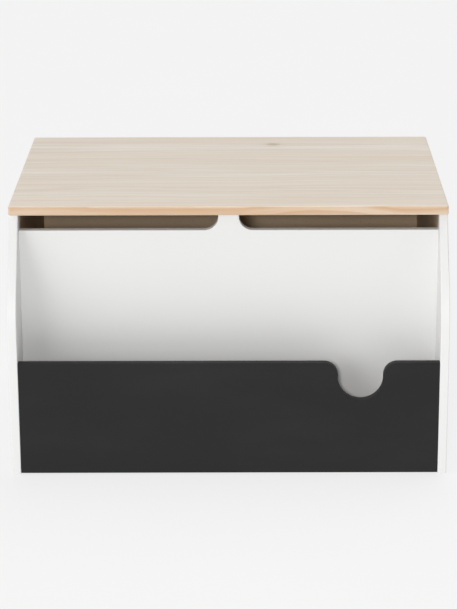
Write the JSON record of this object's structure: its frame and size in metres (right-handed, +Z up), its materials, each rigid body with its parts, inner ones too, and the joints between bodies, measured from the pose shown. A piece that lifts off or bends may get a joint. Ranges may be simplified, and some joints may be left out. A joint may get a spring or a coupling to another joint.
{
  "type": "toy chest",
  "caption": "White toy chest with a hinged natural pine lid, finger gaps under its front edge and a low blackboard front that forms a book pocket with a hand notch.",
  "frame": {"origin": "on the floor, at the centre of the footprint, hinge barrels included", "axes": "+Z up, -Y towards the user and the blackboard front, +X to the user's right"},
  "size_m": [0.6, 0.4753, 0.368],
  "materials": {
    "white_lacquer": "satin white lacquer on fibreboard",
    "raw_board": "clear-sealed brown fibreboard",
    "blackboard_paint": "matt blackboard paint on fibreboard",
    "pine": "clear satin lacquer on knotty pine",
    "beech_dowel": "raw beech",
    "zinc_steel": "zinc-plated pressed steel",
    "screw_steel": "zinc-plated steel",
    "bush_plastic": "acetal",
    "cap_plastic": "white plastic",
    "glide_plastic": "hard plastic"
  },
  "bodies": {
    "carcass": {"back_panel": "raw_board", "bottom_panel": "raw_board", "chest_front_panel": "white_lacquer", "blackboard_front": "blackboard_paint", "glide_nails": "screw_steel", "chest_front_screws": "screw_steel", "back_dowels": "beech_dowel", "blackboard_dowels": "beech_dowel", "bottom_dowels": "beech_dowel", "chest_front_dowels": "beech_dowel", "left_side_panel": "white_lacquer", "left_connecting_bolts": "screw_steel", "left_bolt_caps": "cap_plastic", "left_front_glide": "glide_plastic", "left_rear_glide": "glide_plastic", "left_hinge_base_leaf": "zinc_steel", "left_hinge_friction_bush": "bush_plastic", "left_base_leaf_screws": "screw_steel", "right_side_panel": "white_lacquer", "right_connecting_bolts": "screw_steel", "right_bolt_caps": "cap_plastic", "right_front_glide": "glide_plastic", "right_rear_glide": "glide_plastic", "right_hinge_base_leaf": "zinc_steel", "right_hinge_friction_bush": "bush_plastic", "right_base_leaf_screws": "screw_steel"},
    "lid": {"pine_lid": "pine", "left_hinge_lid_leaf": "zinc_steel", "left_hinge_pin": "screw_steel", "left_lid_leaf_screws": "screw_steel", "right_hinge_lid_leaf": "zinc_steel", "right_hinge_pin": "screw_steel", "right_lid_leaf_screws": "screw_steel"}
  },
  "joints": [
    {"name": "lid_hinge", "type": "hinge", "parent": "carcass", "child": "lid", "pos_m": [0, 0.23365, 0.351], "axis": [-1, 0, 0], "range_deg": [0, 95]}
  ]
}
